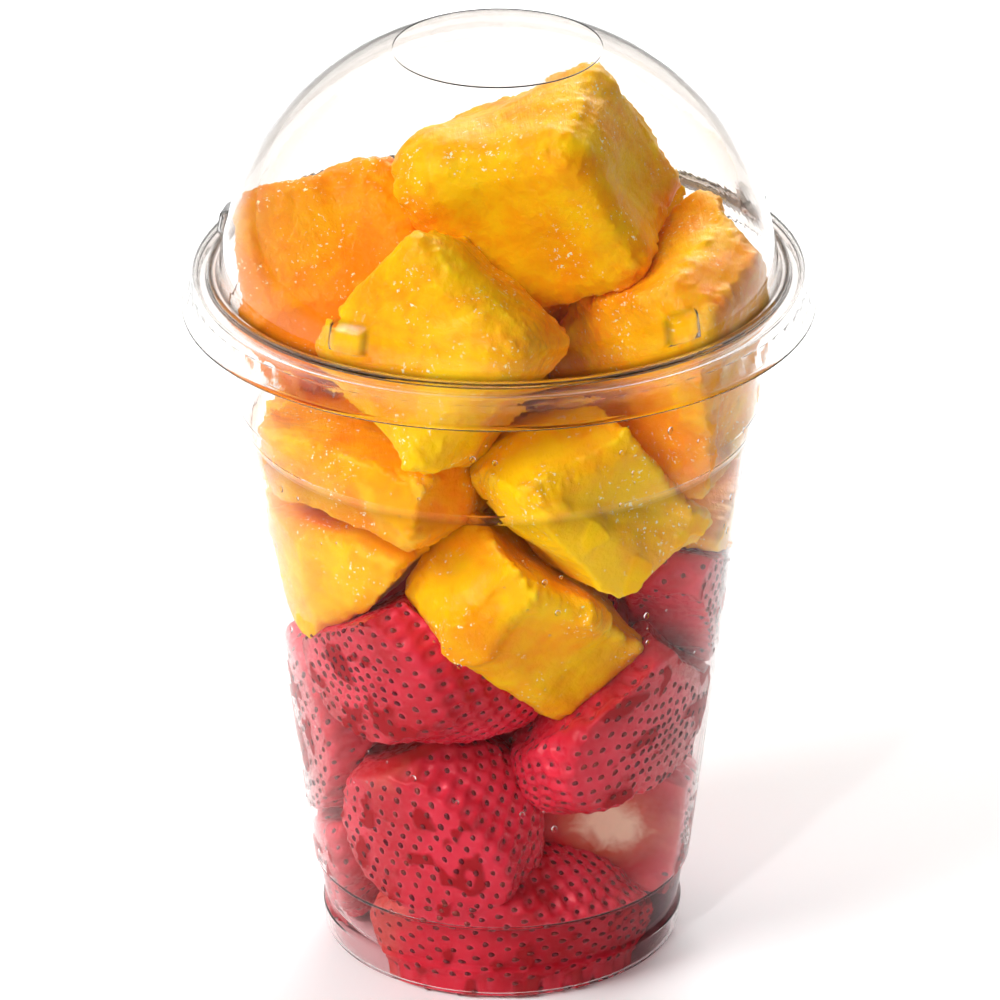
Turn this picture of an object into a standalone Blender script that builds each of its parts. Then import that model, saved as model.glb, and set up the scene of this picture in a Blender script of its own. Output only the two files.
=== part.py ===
"""A clear lidded cup of cut fruit: mango chunks heaped over halved strawberries.

Metres, +Z up. The origin is the centre of the ring that the cup stands on, and -Y is its front.
The sizes below are in millimetres and are turned to metres where a mesh is made.
"""

import math

import bmesh
import bpy
import numpy as np
from mathutils import Euler, Matrix, Vector

MM = 0.001
SEGMENTS = 36  # flat sides round the cup and the lid

GAP = 0.3  # between pieces that touch in the real thing
WALL_GAP = 0.45  # between the fruit and the flat-sided walls

# The cup: outer radii and heights of a 16 ounce cold cup.
CUP_WALL = 0.5
PUSH_UP = 2.0  # how far the middle of the base is raised
RING_RADIUS = 27.2
FOOT_RADIUS = 29.9
FOOT_TOP = 6.3
BODY_FOOT_RADIUS, BODY_FOOT = 31.35, 14.6
BODY_TOP_RADIUS, BODY_TOP = 40.9, 92.0
BAND_TOP_RADIUS, BAND_TOP = 43.6, 113.0
RIM_RADIUS = 49.0
RIM_TOP = 119.3
CURL = 1.15  # radius of the rolled rim

# The lid: a truncated half ball on a flange that snaps over the rim.
LID_WALL = 0.4
DOME_RADIUS = 45.5
DOME_CENTRE = 114.7
FLAT_RADIUS = 16.8
DOME_FOOT = 119.9  # height at which the dome meets the gutter inside the flange
SKIRT_RADIUS = 51.3
SKIRT_EDGE = 113.4

# Mango chunks: centre x, y, z; length, width, height; turn about x, y, z in degrees; how much smaller the
# upper face is; how far that face is shifted along the length. A chunk gives way to those above it in the
# list, so the ones that show come first.
MANGO = {
    "mango_top": ((6.4, 0.6, 131.6), (36, 31, 28), (9, -24, -20), 0.86, 0),
    "mango_front_left": ((-9.5, -22.5, 114.5), (30, 22, 29), (-23, 31, -38), 0.95, 0),
    "mango_right": ((31, -8, 111.5), (37, 31, 36), (10, 20, -46), 0.8, 0),
    "mango_left": ((-26, 9, 114), (32, 30, 30), (-36, -17, 4), 0.95, 0),
    "mango_front_right": ((22, -17.5, 91), (42, 26, 28), (-6, -18, 31), 0.95, -11),
    "mango_front": ((6.7, -20.5, 71.3), (32, 23, 34), (24, -46, 12), 0.95, 0),
    "mango_side_left": ((-19.5, -17.5, 94), (42, 26, 22), (-10, 4, -26), 0.95, 0),
    "mango_low_left": ((-20.5, -14.5, 78), (36, 25, 21), (-3, -30, -27), 0.92, 0),
    "mango_low_right": ((33, -2, 86.5), (27, 26, 28), (0, 20, 60), 0.92, 0),
    "mango_middle": ((10, 3, 108), (31, 28, 26), (8, 0, 25), 0.95, 0),
    "mango_back_left": ((-20, 26, 103), (33, 28, 28), (-14, 10, 30), 0.92, 0),
    "mango_back_right": ((19, 27, 107), (34, 29, 30), (-10, -14, -28), 0.92, 0),
    "mango_back": ((-3, 27, 77), (34, 27, 27), (12, 24, 8), 0.92, 0),
    "mango_core": ((0, 0, 84), (30, 30, 24), (0, 10, 40), 0.95, 0),
    "mango_side_back": ((27, 18, 79), (27, 26, 26), (0, -24, 36), 0.92, 0),
    "mango_left_back": ((-30, 12, 84), (27, 26, 26), (16, 0, 20), 0.92, 0),
}
CHUNK_ROUND = 4.0  # rounding of a cut chunk's edges

# Strawberries: centre; length, width, thickness; turn. The tip points along local -Z before the turn.
# A half is cut flat on its local +Y side.
BERRY = {
    "strawberry_front": ((-8, -19, 27.5), (38, 35, 30), (-8, -24, 0), True),
    "strawberry_left": ((-12, -20, 58), (44, 33, 28), (10, -66, 0), True),
    "strawberry_right": ((17, -18, 46), (36, 33, 30), (6, 48, 20), True),
    "strawberry_base": ((1, -15, 11), (46, 35, 35), (0, -84, 4), False),
    "strawberry_low_right": ((20, -8, 23), (34, 30, 26), (0, 60, 190), True),
    "strawberry_high_right": ((29, -7, 66), (31, 27, 26), (12, 20, 70), True),
    "strawberry_side_left": ((-26, -6, 43), (38, 28, 24), (-6, 6, -60), True),
    "strawberry_low_left": ((-19, -3, 15), (34, 28, 24), (8, 30, -60), True),
    "strawberry_back": ((4, 21, 24), (38, 32, 28), (-16, 20, 180), True),
    "strawberry_back_right": ((23, 14, 52), (39, 32, 28), (-14, 12, 125), True),
    "strawberry_back_left": ((-15, 20, 54), (36, 31, 28), (-10, -30, -150), True),
    "strawberry_middle": ((3, 3, 56), (35, 30, 28), (0, 70, 30), False),
    "strawberry_base_back": ((-10, 15, 10), (34, 27, 24), (0, 86, 70), False),
    "strawberry_left_back": ((-22, 13, 33), (37, 29, 27), (12, -8, -115), True),
    "strawberry_right_back": ((21, 12, 21), (37, 30, 28), (10, 8, 115), True),
    "strawberry_core": ((0, 1, 34), (34, 28, 28), (24, 20, 0), False),
}
TIP_SHARE = 0.34  # how much narrower a berry is towards its tip


def clear_scene():
    for old in list(bpy.data.objects):
        bpy.data.objects.remove(old)


def material(name, colour, roughness, alpha=1.0):
    made = bpy.data.materials.new(name)
    made.use_nodes = True
    shader = made.node_tree.nodes["Principled BSDF"]
    shader.inputs["Base Color"].default_value = (*colour, 1)
    shader.inputs["Roughness"].default_value = roughness
    shader.inputs["Metallic"].default_value = 0
    shader.inputs["Alpha"].default_value = alpha
    return made


def arc(centre, radius, start, end, steps):
    """Points (r, z) on an arc, from start to end in degrees, both ends among them."""
    turns = [math.radians(start + (end - start) * i / steps) for i in range(steps + 1)]
    return [(centre[0] + radius * math.cos(a), centre[1] + radius * math.sin(a)) for a in turns]


def cup_profile():
    """The cup's outer side, from the end of its rolled rim down to the middle of its base."""
    foot_round = FOOT_RADIUS - RING_RADIUS
    curl_centre = (RIM_RADIUS - CURL, RIM_TOP - CURL)
    return [
        *arc(curl_centre, CURL - CUP_WALL, -50, 180, 5),
        (BAND_TOP_RADIUS + 1.3, BAND_TOP + 2.6),
        (BAND_TOP_RADIUS, BAND_TOP),
        (BODY_TOP_RADIUS + 1.6, BODY_TOP + 5.0),
        (BODY_TOP_RADIUS + 0.9, BODY_TOP + 1.8),
        (BODY_TOP_RADIUS, BODY_TOP),
        (BODY_FOOT_RADIUS, BODY_FOOT),
        (BODY_FOOT_RADIUS - 0.75, BODY_FOOT - 0.8),
        (FOOT_RADIUS - 0.6, FOOT_TOP),
        (FOOT_RADIUS - 0.1, FOOT_TOP - 0.8),
        *arc((RING_RADIUS, foot_round), foot_round, 0, -90, 3),
        (RING_RADIUS - 1.6, 0),
        (RING_RADIUS - 4.2, PUSH_UP),
        (0, PUSH_UP),
    ]


def lid_profile():
    """The lid's outer side, from the middle of its flat top down over the flange to the skirt's edge."""
    flat_angle = math.degrees(math.acos(FLAT_RADIUS / DOME_RADIUS))
    foot_angle = math.degrees(math.asin((DOME_FOOT - DOME_CENTRE) / DOME_RADIUS))
    rim_middle = (RIM_RADIUS - CURL, RIM_TOP - CURL)
    bead = CURL + GAP + LID_WALL
    gutter = RIM_TOP - 0.5
    return [
        (0, DOME_CENTRE + DOME_RADIUS * math.sin(math.radians(flat_angle))),
        *arc((0, DOME_CENTRE), DOME_RADIUS, flat_angle, foot_angle, 9),
        (rim_middle[0] - bead - 0.3, gutter),
        *arc(rim_middle, bead, 160, 0, 4),
        (rim_middle[0] + bead + 0.15, SKIRT_EDGE + 3.4),
        (SKIRT_RADIUS - 0.7, SKIRT_EDGE + 0.4),
        (SKIRT_RADIUS, SKIRT_EDGE),
    ]


def turned_shell(name, profile, wall, collection, look):
    """A thin shell: the profile of its outer side turned round Z, with its wall on the inside."""
    mesh = bpy.data.meshes.new(name)
    points = [(r * MM, 0, z * MM) for r, z in profile]
    mesh.from_pydata(points, [(i, i + 1) for i in range(len(points) - 1)], [])
    shell = bpy.data.objects.new(name, mesh)
    collection.objects.link(shell)
    mesh.materials.append(look)
    turn = shell.modifiers.new("Turn", "SCREW")
    turn.axis = "Z"
    turn.steps = turn.render_steps = SEGMENTS
    turn.use_merge_vertices = True
    turn.merge_threshold = 0.00001
    thick = shell.modifiers.new("Wall", "SOLIDIFY")
    thick.thickness = wall * MM
    thick.offset = -1
    thick.use_even_offset = True
    return shell


def placed(centre, turn):
    spin = Euler([math.radians(a) for a in turn], "XYZ").to_matrix().to_4x4()
    return Matrix.Translation(Vector(centre)) @ spin


def mango_chunk(centre, size, turn, taper, skew):
    """A cut block, its upper face a little smaller and shifted, with rounded edges, in millimetres."""
    form = bmesh.new()
    bmesh.ops.create_cube(form, size=1)
    for corner in form.verts:
        share = taper if corner.co.z > 0 else 1
        lean = 1.5 if corner.co.x * corner.co.y > 0 else -1.5
        corner.co = Vector(
            (
                corner.co.x * size[0] * share + corner.co.z * skew,
                corner.co.y * size[1] * share,
                corner.co.z * size[2] + lean,
            )
        )
    bmesh.ops.bevel(
        form, geom=form.edges[:], offset=CHUNK_ROUND, segments=2, profile=0.5, affect="EDGES"
    )
    bmesh.ops.transform(form, matrix=placed(centre, turn), verts=form.verts)
    return form


def strawberry(centre, size, turn, halved):
    """A berry that narrows to its tip, hulled flat at its crown and, if halved, cut flat along its length."""
    length, width, thickness = size
    form = bmesh.new()
    bmesh.ops.create_uvsphere(form, u_segments=12, v_segments=8, radius=1)
    for point in form.verts:
        narrow = 1 - TIP_SHARE * (1 - point.co.z) / 2
        point.co = Vector(
            (
                point.co.x * width / 2 * narrow,
                point.co.y * thickness / 2 * narrow,
                point.co.z * length / 2,
            )
        )
    slice_off(form, Vector((0, 0, length * 0.42)), Vector((0, 0, 1)))
    if halved:
        slice_off(form, Vector((0, thickness * 0.2, 0)), Vector((0, 1, 0)))
    bmesh.ops.transform(form, matrix=placed(centre, turn), verts=form.verts)
    return form


def slice_off(form, point, normal):
    """Cuts away what lies beyond a plane and closes the cut with one flat face."""
    geometry = form.verts[:] + form.edges[:] + form.faces[:]
    cut = bmesh.ops.bisect_plane(
        form, geom=geometry, dist=0.001, plane_co=point, plane_no=normal, clear_outer=True
    )
    rim = [e for e in cut["geom_cut"] if isinstance(e, bmesh.types.BMEdge)]
    if rim:
        bmesh.ops.edgenet_fill(form, edges=rim)
    bmesh.ops.dissolve_degenerate(form, edges=form.edges[:], dist=0.05)
    bmesh.ops.recalc_face_normals(form, faces=form.faces[:])


def room_at(height):
    """The radius that the fruit may reach at a height inside the cup."""
    slope = (BODY_TOP_RADIUS - BODY_FOOT_RADIUS) / (BODY_TOP - BODY_FOOT)
    body = BODY_FOOT_RADIUS + slope * (height - BODY_FOOT)
    foot = FOOT_RADIUS - 0.6 + 0.16 * (height - FOOT_TOP)
    return min(body, foot) - CUP_WALL - WALL_GAP


def keep_inside(form):
    """Moves each point that would touch the cup or the lid straight in towards the axis or the dome's centre."""
    floor = PUSH_UP + CUP_WALL + WALL_GAP
    dome = DOME_RADIUS - LID_WALL - WALL_GAP
    middle = Vector((0, 0, DOME_CENTRE))
    for point in form.verts:
        point.co.z = max(point.co.z, floor)
        across = math.hypot(point.co.x, point.co.y)
        if across > room_at(point.co.z):
            point.co.xy = point.co.xy * (room_at(point.co.z) / across)
        out = point.co - middle
        if out.z > 0 and out.length > dome:
            point.co = middle + out * (dome / out.length)


def directions(count):
    """Unit vectors spread evenly over a ball."""
    index = np.arange(count) + 0.5
    height = 1 - 2 * index / count
    angle = math.pi * (1 + 5**0.5) * index
    flat = np.sqrt(1 - height**2)
    return np.stack([flat * np.cos(angle), flat * np.sin(angle), height], axis=1)


def points_of(form):
    return np.array([p.co[:] for p in form.verts])


def least_overlap(first, second, ways):
    """The way along which second reaches least far into first, and how far it does."""
    reach = (first @ ways.T).max(axis=0)
    start = (second @ ways.T).min(axis=0)
    best = int((reach - start).argmin())
    return ways[best], float(reach[best] - start[best])


def cut_back(form, firm, ways):
    """Flattens form where it would press into a firmer neighbour, and leaves a gap between them."""
    way, depth = least_overlap(points_of(firm), points_of(form), ways)
    for spread in (0.2, 0.06, 0.02):
        if depth > -GAP:
            near = way + spread * ways
            near /= np.linalg.norm(near, axis=1)[:, None]
            way, depth = least_overlap(points_of(firm), points_of(form), near)
    if depth > -GAP:
        reach = float((points_of(firm) @ way).max()) + GAP
        slice_off(form, Vector(way * reach), Vector(-way))


def fruit_node(name, form, collection, look):
    bmesh.ops.scale(form, vec=(MM, MM, MM), verts=form.verts)
    mesh = bpy.data.meshes.new(name)
    form.to_mesh(mesh)
    form.free()
    mesh.shade_smooth()
    mesh.set_sharp_from_angle(angle=math.radians(40))
    mesh.materials.append(look)
    middle = sum((v.co for v in mesh.vertices), Vector()) / len(mesh.vertices)
    mesh.transform(Matrix.Translation(-middle))
    node = bpy.data.objects.new(name, mesh)
    node.location = middle
    collection.objects.link(node)


def fruit(collection):
    """Every piece of fruit, set inside the cup and pressed flat where two meet."""
    looks = {
        "mango": material("mango flesh", (0.9, 0.42, 0.02), 0.35),
        "strawberry": material("strawberry flesh", (0.6, 0.03, 0.04), 0.3),
    }
    forms = {name: mango_chunk(*sizes) for name, sizes in MANGO.items()}
    forms |= {name: strawberry(*sizes) for name, sizes in BERRY.items()}
    ways = directions(400)
    done = []
    for form in forms.values():
        keep_inside(form)
        for firm in done:
            cut_back(form, firm, ways)
        done.append(form)
    for name, form in forms.items():
        fruit_node(name, form, collection, looks[name.split("_")[0]])


def build():
    clear_scene()
    collection = bpy.data.collections.new("fruit cup")
    bpy.context.scene.collection.children.link(collection)
    clear = material("clear PET", (0.9, 0.92, 0.93), 0.05, 0.3)
    turned_shell("cup", cup_profile(), CUP_WALL, collection, clear)
    turned_shell("lid", lid_profile(), LID_WALL, collection, clear)
    fruit(collection)


build()
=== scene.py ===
"""A clear lidded cup of cut fruit: mango chunks heaped over halved strawberries.

Everything is in metres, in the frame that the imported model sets: +Z up, -Y the front.
"""

import math

import bmesh
import bpy
import numpy as np
from bpy.props import (
    FloatProperty,
    FloatVectorProperty,
    IntProperty,
    PointerProperty,
)
from mathutils import Euler, Matrix, Vector
from mathutils.bvhtree import BVHTree


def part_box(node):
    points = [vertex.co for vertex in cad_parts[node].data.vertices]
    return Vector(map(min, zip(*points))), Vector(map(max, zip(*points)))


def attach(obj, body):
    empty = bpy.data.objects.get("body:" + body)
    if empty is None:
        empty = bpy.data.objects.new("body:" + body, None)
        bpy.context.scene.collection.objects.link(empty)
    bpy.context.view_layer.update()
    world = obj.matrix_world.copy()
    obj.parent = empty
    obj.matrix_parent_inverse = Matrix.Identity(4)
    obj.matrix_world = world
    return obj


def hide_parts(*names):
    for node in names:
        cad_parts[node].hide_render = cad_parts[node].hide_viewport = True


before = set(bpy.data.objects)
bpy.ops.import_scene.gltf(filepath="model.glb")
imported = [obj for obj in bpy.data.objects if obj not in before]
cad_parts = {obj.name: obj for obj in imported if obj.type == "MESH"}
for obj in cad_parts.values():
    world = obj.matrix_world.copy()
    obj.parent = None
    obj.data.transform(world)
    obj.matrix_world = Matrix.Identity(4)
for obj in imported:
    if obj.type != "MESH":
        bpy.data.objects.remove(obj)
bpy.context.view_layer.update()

bl_info = {
    "name": "Fruit Cup",
    "version": (1, 0, 0),
    "blender": (4, 5, 0),
    "location": "View3D > Sidebar > Fruit Cup",
    "description": "Builds a clear lidded cup of mango chunks and strawberries",
    "category": "Add Mesh",
}

MM = 0.001

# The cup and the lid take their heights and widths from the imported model.
CUP_LOW, CUP_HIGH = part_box("cup")
LID_LOW, LID_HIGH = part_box("lid")
RIM_RADIUS = CUP_HIGH.x / MM
RIM_TOP = CUP_HIGH.z / MM
SKIRT_RADIUS = LID_HIGH.x / MM - 0.1
SKIRT_EDGE = LID_LOW.z / MM + 0.33
LID_TOP = LID_HIGH.z / MM
MANGO_NODES = sorted(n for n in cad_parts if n.startswith("mango_"))
BERRY_NODES = sorted(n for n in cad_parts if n.startswith("strawberry_"))

# In millimetres, as in the part's own design.
CURL = 1.15  # radius of the cup's rolled rim
DOME_RADIUS = 45.5
FLAT_RADIUS = 16.8
DOME_CENTRE = LID_TOP - math.sqrt(DOME_RADIUS**2 - FLAT_RADIUS**2)
DOME_FOOT = 119.9

# How each berry lies: its middle; length, width, thickness; turn in degrees; and whether it is
# halved, flat on its local +Y side. Its tip points along local -Z before the turn.
BERRY_LAY = {
    "strawberry_front": ((-8, -19, 27.5), (38, 35, 30), (-8, -24, 0), True),
    "strawberry_left": ((-12, -20, 58), (44, 33, 28), (10, -66, 0), True),
    "strawberry_right": ((17, -18, 46), (36, 33, 30), (6, 48, 20), True),
    "strawberry_base": ((2, -15, 11), (42, 35, 35), (0, -84, 4), False),
    "strawberry_low_right": ((20, -8, 23), (34, 30, 26), (0, 60, 190), True),
    "strawberry_high_right": ((29, -7, 66), (31, 27, 26), (12, 20, 70), True),
    "strawberry_side_left": ((-26, -6, 43), (38, 28, 24), (-6, 6, -60), True),
    "strawberry_low_left": ((-19, -3, 15), (34, 28, 24), (8, 30, -60), True),
    "strawberry_back": ((4, 21, 24), (38, 32, 28), (-16, 20, 180), True),
    "strawberry_back_right": ((23, 14, 52), (39, 32, 28), (-14, 12, 125), True),
    "strawberry_back_left": ((-15, 20, 54), (36, 31, 28), (-10, -30, -150), True),
    "strawberry_middle": ((3, 3, 56), (35, 30, 28), (0, 70, 30), False),
    "strawberry_base_back": ((-10, 15, 10), (34, 27, 24), (0, 86, 70), False),
    "strawberry_left_back": ((-22, 13, 33), (37, 29, 27), (12, -8, -115), True),
    "strawberry_right_back": ((21, 12, 21), (37, 30, 28), (10, 8, 115), True),
    "strawberry_core": ((0, 1, 34), (34, 28, 28), (24, 20, 0), False),
}
TIP_SHARE = 0.34  # how much narrower a berry is towards its tip
HULL_SHARE = 0.42  # where the crown is cut off, as a share of the length from the middle
FREE = {"strawberry_base"}  # berries that keep their whole form inside their neighbours
HALF_SHARE = 0.2  # where a half is cut, as a share of the thickness from the middle

# How ripe each chunk is, from 0, lemon yellow, to 1, deep orange, and how green it is.
RIPE = {
    "mango_top": 0.38,
    "mango_front_left": 0.35,
    "mango_right": 0.62,
    "mango_left": 0.95,
    "mango_front_right": 0.1,
    "mango_front": 0.45,
    "mango_side_left": 0.6,
    "mango_low_left": 0.5,
}


# Where a chunk is cut fuller than its plain form: the place, how far round it, and how much.
FULLER = {
    "mango_top": [((-12, -2, 140), 9.0, 3.4)],
    "mango_front": [((15, -27, 74), 7.0, 3.0)],
    "mango_front_right": [((31, -19, 87), 8.0, 3.0), ((6, -27, 92), 8.0, 3.2)],
    "mango_side_left": [((-4, -26, 90), 8.0, 2.8)],
}


def linear(code):
    """A hex sRGB colour as the linear RGB that shaders use."""
    parts = [int(code[i : i + 2], 16) / 255 for i in (1, 3, 5)]
    return tuple(c / 12.92 if c <= 0.04045 else ((c + 0.055) / 1.055) ** 2.4 for c in parts)


def length(name, description, default, low=0.0):
    return FloatProperty(
        name=name, description=description, default=default, min=low, subtype="DISTANCE", unit="LENGTH"
    )


def colour(name, description, code):
    return FloatVectorProperty(
        name=name,
        description=description,
        default=linear(code),
        size=3,
        min=0,
        max=1,
        subtype="COLOR",
    )


class FruitCupPlastic(bpy.types.PropertyGroup):
    cup_wall: length("Cup wall", "Thickness of the cup's wall", 0.5 * MM, 0.0002)
    lid_wall: length("Lid wall", "Thickness of the lid's wall", 0.4 * MM, 0.0002)
    lid_segments: IntProperty(
        name="Lid segments", description="Flat sides round the lid", default=360, min=36
    )
    cup_segments: IntProperty(
        name="Cup segments", description="Flat sides round the cup", default=270, min=36
    )
    bumps: IntProperty(
        name="Snap bumps", description="Bumps round the lid's skirt that grip the rim", default=72, min=0
    )
    bump_depth: length("Bump depth", "How far a snap bump stands in from the skirt", 0.3 * MM)
    lugs: IntProperty(
        name="Stacking lugs", description="Lugs round the dome's foot", default=5, min=0
    )
    lug_depth: length("Lug depth", "How far a stacking lug stands out from the dome", 1.6 * MM)
    drops: IntProperty(
        name="Drops", description="Drops on the cup's inner side", default=200, min=1
    )
    # Painted shade: the colour that tight folds, the gutter and the lugs' sides are darkened towards.
    painted_fold_shade: colour("Folds", "How tight folds of the plastic darken what is seen through them", "#4a3a2c")
    tint: colour("Cup plastic", "Colour of the cup's clear plastic", "#fcfaf9")
    lid_tint: colour("Lid plastic", "Colour of the lid's clear plastic", "#f3f0ed")


class FruitCupFruit(bpy.types.PropertyGroup):
    swell: length("Mango swell", "Height of a chunk's broad hollows and swells", 1.1 * MM)
    ragged: length("Mango raggedness", "Height of the torn fibres along a chunk's edges", 1.3 * MM)
    seed_gap: length("Seed spacing", "Distance between a berry's seeds", 2.5 * MM, 0.001)
    seed_length: length("Seed length", "Length of a berry's seed", 1.25 * MM)
    pit_depth: length("Pit depth", "Depth of the pit round each seed", 0.5 * MM)
    mango_yellow: colour("Mango yellow", "Flesh of a firm chunk", "#fec809")
    mango_orange: colour("Mango orange", "Flesh of a ripe chunk", "#f78f02")
    # Paler edges: partly torn fibres, partly painted light shining through the thin flesh.
    mango_edge_light: colour("Mango edge", "Torn edges of a chunk", "#ffd84a")
    skin_red: colour("Berry skin", "Skin of a ripe strawberry", "#dc2c44")
    skin_deep: colour("Berry skin, deep", "Darker patches of the skin", "#b50f20")
    flesh_red: colour("Berry flesh", "Cut flesh just inside the skin", "#b81618")
    flesh_pale: colour("Berry core", "Pale core of a cut strawberry", "#f3c9ae")
    juice_pale: colour("Juice, thin", "Thin red juice down the wall", "#fef7f7")
    # Deeper juice colour towards +X: partly gathered juice, partly painted shade on the side away from the key light.
    juice_deep_and_shaded: colour("Juice, deep", "Juice where it has gathered", "#7a2434")
    seed: colour("Seed", "Strawberry seeds", "#5a1622")


class FruitCupStage(bpy.types.PropertyGroup):
    floor_size: length("Floor size", "Width of the floor", 8.0, 1.0)
    floor: colour("Floor", "Pale floor", "#fdfdfd")
    key_power: FloatProperty(
        name="Key light", description="Power of the key light", default=13.5, min=0, subtype="POWER", unit="POWER"
    )
    fill_power: FloatProperty(
        name="Fill light", description="Power of the front light", default=3.6, min=0, subtype="POWER", unit="POWER"
    )
    back_power: FloatProperty(
        name="Back light", description="Power of the back light", default=2.6, min=0, subtype="POWER", unit="POWER"
    )
    floor_power: FloatProperty(
        name="Floor light", description="Power of the light over the floor behind", default=3.8, min=0, subtype="POWER", unit="POWER"
    )
    spark_power: FloatProperty(
        name="Spark light", description="Power of the small light that makes glints", default=2.4, min=0, subtype="POWER", unit="POWER"
    )


# Small helpers -----------------------------------------------------------------------------


def node(tree, kind, inputs=None, **settings):
    """Adds a node, makes its settings, and links or sets its inputs by name or number."""
    made = tree.nodes.new(kind)
    for key, value in settings.items():
        setattr(made, key, value)
    for key, value in (inputs or {}).items():
        if isinstance(value, bpy.types.NodeSocket):
            tree.links.new(value, made.inputs[key])
        else:
            made.inputs[key].default_value = value
    return made


def out(made, key=0):
    return made.outputs[key]


def maths(tree, operation, *values):
    return out(node(tree, "ShaderNodeMath", dict(enumerate(values)), operation=operation))


def ramp(tree, fac, stops):
    """A colour ramp through (place, linear colour) stops."""
    made = node(tree, "ShaderNodeValToRGB", {0: fac})
    elements = made.color_ramp.elements
    while len(elements) > len(stops):
        elements.remove(elements[-1])
    while len(elements) < len(stops):
        elements.new(0.5)
    for element, (place, tone) in zip(elements, stops):
        element.position = place
        element.color = (*tone[:3], 1)
    return out(made)


def mix(tree, fac, a, b, blend="MIX"):
    """Mixes two colours, each a socket or a linear colour."""
    made = node(tree, "ShaderNodeMix", {0: fac}, data_type="RGBA", blend_type=blend)
    for place, value in ((6, a), (7, b)):
        if isinstance(value, bpy.types.NodeSocket):
            tree.links.new(value, made.inputs[place])
        else:
            made.inputs[place].default_value = (*value[:3], 1)
    return made.outputs[2]


def rescale(tree, value, low, high, to_low=0.0, to_high=1.0, smooth=False):
    made = node(
        tree,
        "ShaderNodeMapRange",
        {0: value, 1: low, 2: high, 3: to_low, 4: to_high},
        interpolation_type="SMOOTHSTEP" if smooth else "LINEAR",
    )
    return out(made)


def noise(tree, vector, size, detail=2.0, roughness=0.5, distortion=0.0):
    """Noise whose lumps are about size metres across."""
    made = node(
        tree,
        "ShaderNodeTexNoise",
        {
            "Vector": vector,
            "Scale": 1 / size,
            "Detail": detail,
            "Roughness": roughness,
            "Distortion": distortion,
        },
    )
    return out(made)


def new_material(name):
    made = bpy.data.materials.new(name)
    made.use_nodes = True
    made.node_tree.nodes.clear()
    end = made.node_tree.nodes.new("ShaderNodeOutputMaterial")
    return made, made.node_tree, end


def new_piece(name, mesh, slot, *nodes):
    """Links a finished mesh as a piece that rides on the cup's body and stands for CAD nodes."""
    piece = bpy.data.objects.new(name, mesh)
    bpy.context.scene.collection.objects.link(piece)
    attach(piece, "root")
    if nodes:
        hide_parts(*nodes)
    return piece


def signed_volume(mesh):
    mesh.calc_loop_triangles()
    corners = np.empty(len(mesh.loop_triangles) * 3, np.int32)
    mesh.loop_triangles.foreach_get("vertices", corners)
    places = np.empty(len(mesh.vertices) * 3)
    mesh.vertices.foreach_get("co", places)
    a, b, c = places.reshape(-1, 3)[corners.reshape(-1, 3)].transpose(1, 0, 2)
    return float(np.einsum("ij,ij->i", a, np.cross(b, c)).sum()) / 6


def face_outwards(mesh):
    if signed_volume(mesh) < 0:
        mesh.flip_normals()


# Materials ---------------------------------------------------------------------------------


def clear_plastic(name, tint, fold_shade_tint, streak_size, bend, gloss=0.0, mirror=0.35):
    """Thermoformed PET: clear, very smooth, with faint drawing streaks down the wall.

    Lamps and light scattered by the fruit pass straight through it, as its wall is thin. Tight
    folds get painted shade: the base colour is darkened towards the fold shade tint there, in place of the light they
    bend away."""
    made, tree, end = new_material(name)
    place = out(node(tree, "ShaderNodeTexCoord"), "Object")
    drawn = node(tree, "ShaderNodeMapping", {"Vector": place, "Scale": (1.0, 1.0, 0.12)})
    streaks = noise(tree, out(drawn), streak_size, 3.0, 0.6)
    # Painted shade: the base colour is darkened in tight folds and along the lugs' sides.
    painted_fold_shade = out(node(tree, "ShaderNodeAttribute", attribute_name="painted_fold_shade"), "Fac")
    ripple = node(
        tree, "ShaderNodeBump", {"Strength": 0.12, "Distance": 0.0002, "Height": streaks}
    )
    plastic = node(
        tree,
        "ShaderNodeBsdfPrincipled",
        {
            "Base Color": mix(tree, painted_fold_shade, tint, fold_shade_tint),
            "Roughness": gloss,
            "IOR": bend,
            "Specular Tint": (mirror, mirror, mirror, 1),
            "Transmission Weight": 1.0,
            "Normal": out(ripple),
        },
    )
    light = node(tree, "ShaderNodeLightPath")
    through = node(tree, "ShaderNodeBsdfTransparent", {"Color": (0.97, 0.97, 0.97, 1)})
    scattered = node(
        tree,
        "ShaderNodeMixShader",
        {0: out(light, "Is Diffuse Ray"), 1: out(plastic), 2: out(through)},
    )
    lamps = node(
        tree,
        "ShaderNodeMixShader",
        {0: out(light, "Is Shadow Ray"), 1: out(scattered), 2: out(through)},
    )
    tree.links.new(out(lamps), end.inputs["Surface"])
    return made


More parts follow.
